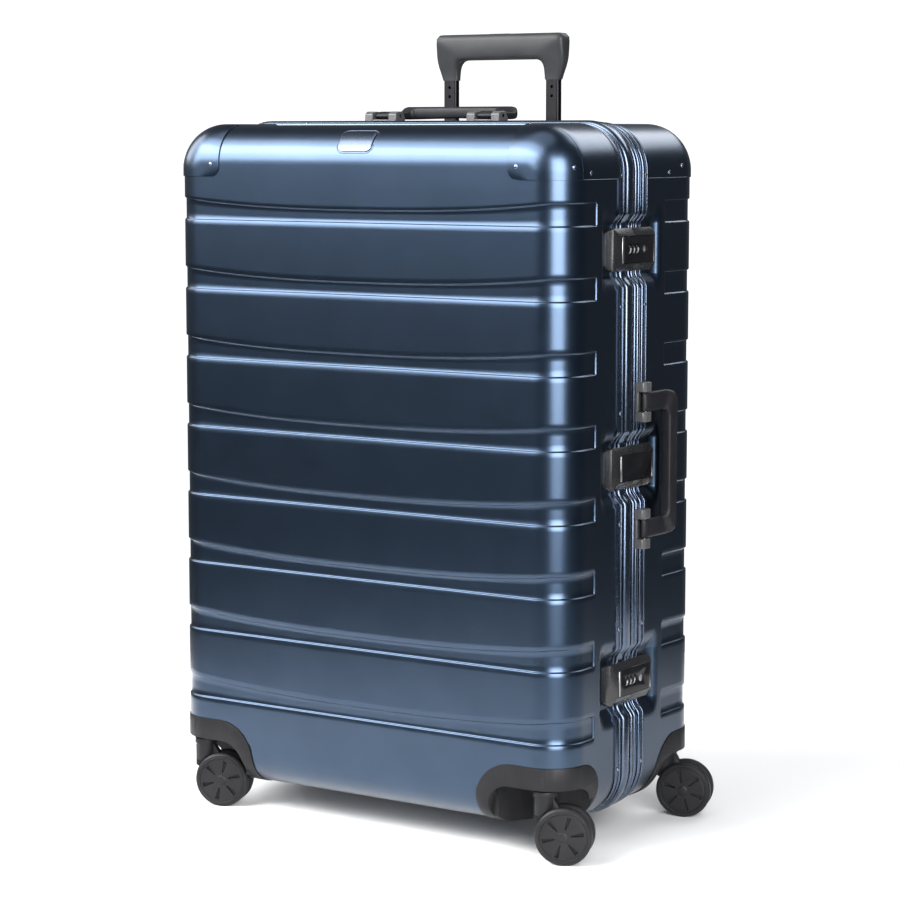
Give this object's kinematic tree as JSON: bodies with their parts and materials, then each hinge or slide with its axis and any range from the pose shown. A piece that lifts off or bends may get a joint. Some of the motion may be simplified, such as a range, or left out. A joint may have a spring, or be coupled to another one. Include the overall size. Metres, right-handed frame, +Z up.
{
  "type": "hard shell suitcase",
  "caption": "Upright hard-shell metal suitcase with pressed bands, a riveted frame, side locks, folding carry handles, a telescopic pull handle and twin-wheel swivel casters.",
  "frame": {"origin": "on the floor, under the middle of the body (half of its width and depth without wheels, handles and hinges)", "axes": "+Z up, front of the case (lid) towards -Y, locks and side handle on +X, pull handle at the back on +Y"},
  "size_m": [0.5683, 0.302, 0.885],
  "materials": {
    "shell": "satin anodised navy",
    "frame": "satin anodised navy",
    "rivet": "satin",
    "housing": "satin black",
    "lining": "woven dark lining",
    "steel": "brushed",
    "lock": "satin black",
    "dial": "satin black",
    "handle": "satin black",
    "tube": "satin black",
    "seal": "matt",
    "caster": "satin black",
    "wheel": "matt black"
  },
  "bodies": {
    "base": {"back_shell": "shell", "back_frame": "frame", "back_rivets": "rivet", "back_corner_guards": "shell", "back_left_housing": "housing", "back_right_housing": "housing", "back_lining": "lining", "base_hinge_leaves": "frame", "hinge_pins": "steel", "lock_casings": "lock", "side_handle_brackets": "handle", "top_handle_brackets": "handle", "side_handle_pins": "steel", "top_handle_pins": "steel", "handle_bezel": "housing", "outer_tubes": "tube", "tube_foot": "housing", "frame_seal": "seal"},
    "lid": {"front_shell": "shell", "front_frame": "frame", "front_rivets": "rivet", "front_corner_guards": "shell", "front_left_housing": "housing", "front_right_housing": "housing", "front_lining": "lining", "lid_hinge_leaves": "frame", "lock_keepers": "lock", "badge_plate": "shell"},
    "upper_latch": {"upper_flap": "lock", "upper_dial_axle": "steel"},
    "centre_latch": {"centre_flap": "lock"},
    "lower_latch": {"lower_flap": "lock", "lower_dial_axle": "steel"},
    "side_grip": {"side_handle": "handle"},
    "top_grip": {"top_handle": "handle"},
    "middle_stage": {"middle_tubes": "tube"},
    "inner_stage": {"inner_tubes": "tube", "pull_grip": "handle"},
    "button": {"release_button": "handle"},
    "upper_dial_1_body": {"upper_dial_1": "dial"},
    "upper_dial_2_body": {"upper_dial_2": "dial"},
    "upper_dial_3_body": {"upper_dial_3": "dial"},
    "upper_key_cylinder_body": {"upper_key_cylinder": "steel"},
    "lower_dial_1_body": {"lower_dial_1": "dial"},
    "lower_dial_2_body": {"lower_dial_2": "dial"},
    "lower_dial_3_body": {"lower_dial_3": "dial"},
    "lower_key_cylinder_body": {"lower_key_cylinder": "steel"},
    "front_left_swivel": {"front_left_fork": "caster", "front_left_axle": "steel"},
    "front_left_wheel": {"front_left_wheels": "wheel"},
    "front_right_swivel": {"front_right_fork": "caster", "front_right_axle": "steel"},
    "front_right_wheel": {"front_right_wheels": "wheel"},
    "back_left_swivel": {"back_left_fork": "caster", "back_left_axle": "steel"},
    "back_left_wheel": {"back_left_wheels": "wheel"},
    "back_right_swivel": {"back_right_fork": "caster", "back_right_axle": "steel"},
    "back_right_wheel": {"back_right_wheels": "wheel"}
  },
  "joints": [
    {"name": "lid_hinge", "type": "hinge", "parent": "base", "child": "lid", "pos_m": [-0.2735, -0.011, 0.414], "axis": [0, 0, -1], "range_deg": [0, 165]},
    {"name": "upper_latch_hinge", "type": "hinge", "parent": "base", "child": "upper_latch", "pos_m": [0.2639, 0.0285, 0.648], "axis": [0, 0, 1], "range_deg": [0, 75]},
    {"name": "centre_latch_hinge", "type": "hinge", "parent": "base", "child": "centre_latch", "pos_m": [0.2639, 0.0285, 0.414], "axis": [0, 0, 1], "range_deg": [0, 75]},
    {"name": "lower_latch_hinge", "type": "hinge", "parent": "base", "child": "lower_latch", "pos_m": [0.2639, 0.0285, 0.18], "axis": [0, 0, 1], "range_deg": [0, 75]},
    {"name": "upper_dial_1_turn", "type": "hinge", "parent": "upper_latch", "child": "upper_dial_1_body", "pos_m": [0.2611, -0.0205, 0.648], "axis": [0, 1, 0], "continuous": true},
    {"name": "upper_dial_2_turn", "type": "hinge", "parent": "upper_latch", "child": "upper_dial_2_body", "pos_m": [0.2611, -0.0125, 0.648], "axis": [0, 1, 0], "continuous": true},
    {"name": "upper_dial_3_turn", "type": "hinge", "parent": "upper_latch", "child": "upper_dial_3_body", "pos_m": [0.2611, -0.0045, 0.648], "axis": [0, 1, 0], "continuous": true},
    {"name": "upper_key_turn", "type": "hinge", "parent": "upper_latch", "child": "upper_key_cylinder_body", "pos_m": [0.262, 0.0095, 0.648], "axis": [1, 0, 0], "range_deg": [0, 90]},
    {"name": "lower_dial_1_turn", "type": "hinge", "parent": "lower_latch", "child": "lower_dial_1_body", "pos_m": [0.2611, -0.0205, 0.18], "axis": [0, 1, 0], "continuous": true},
    {"name": "lower_dial_2_turn", "type": "hinge", "parent": "lower_latch", "child": "lower_dial_2_body", "pos_m": [0.2611, -0.0125, 0.18], "axis": [0, 1, 0], "continuous": true},
    {"name": "lower_dial_3_turn", "type": "hinge", "parent": "lower_latch", "child": "lower_dial_3_body", "pos_m": [0.2611, -0.0045, 0.18], "axis": [0, 1, 0], "continuous": true},
    {"name": "lower_key_turn", "type": "hinge", "parent": "lower_latch", "child": "lower_key_cylinder_body", "pos_m": [0.262, 0.0095, 0.18], "axis": [1, 0, 0], "range_deg": [0, 90]},
    {"name": "side_handle_hinge", "type": "hinge", "parent": "base", "child": "side_grip", "pos_m": [0.273, 0.002, 0.415], "axis": [0, 0, -1], "range_deg": [0, 95]},
    {"name": "top_handle_hinge", "type": "hinge", "parent": "base", "child": "top_grip", "pos_m": [0, 0.002, 0.7905], "axis": [1, 0, 0], "range_deg": [0, 95]},
    {"name": "middle_stage_slide", "type": "slide", "parent": "base", "child": "middle_stage", "axis": [0, 0, 1], "range_m": [0, 0.12]},
    {"name": "inner_stage_slide", "type": "slide", "parent": "middle_stage", "child": "inner_stage", "axis": [0, 0, 1], "range_m": [-0.087, 0.12]},
    {"name": "release_button_press", "type": "slide", "parent": "inner_stage", "child": "button", "axis": [0, 0, -1], "range_m": [0, 0.003], "stiffness_N_per_m": 400, "springref_m": -0.003},
    {"name": "front_left_swivel_turn", "type": "hinge", "parent": "lid", "child": "front_left_swivel", "pos_m": [-0.23, -0.131, 0.06], "axis": [0, 0, 1], "continuous": true},
    {"name": "front_left_wheel_spin", "type": "hinge", "parent": "front_left_swivel", "child": "front_left_wheel", "pos_m": [-0.20946, -0.12312, 0.031], "axis": [-0.3584, 0.9336, 0], "continuous": true},
    {"name": "front_right_swivel_turn", "type": "hinge", "parent": "lid", "child": "front_right_swivel", "pos_m": [0.23, -0.131, 0.06], "axis": [0, 0, 1], "continuous": true},
    {"name": "front_right_wheel_spin", "type": "hinge", "parent": "front_right_swivel", "child": "front_right_wheel", "pos_m": [0.2504, -0.12276, 0.031], "axis": [-0.3746, 0.9272, 0], "continuous": true},
    {"name": "back_left_swivel_turn", "type": "hinge", "parent": "base", "child": "back_left_swivel", "pos_m": [-0.236, 0.122, 0.06], "axis": [0, 0, 1], "continuous": true},
    {"name": "back_left_wheel_spin", "type": "hinge", "parent": "back_left_swivel", "child": "back_left_wheel", "pos_m": [-0.21533, 0.12952, 0.031], "axis": [-0.342, 0.9397, 0], "continuous": true},
    {"name": "back_right_swivel_turn", "type": "hinge", "parent": "base", "child": "back_right_swivel", "pos_m": [0.236, 0.122, 0.06], "axis": [0, 0, 1], "continuous": true},
    {"name": "back_right_wheel_spin", "type": "hinge", "parent": "back_right_swivel", "child": "back_right_wheel", "pos_m": [0.2568, 0.12916, 0.031], "axis": [-0.3256, 0.9455, 0], "continuous": true}
  ]
}
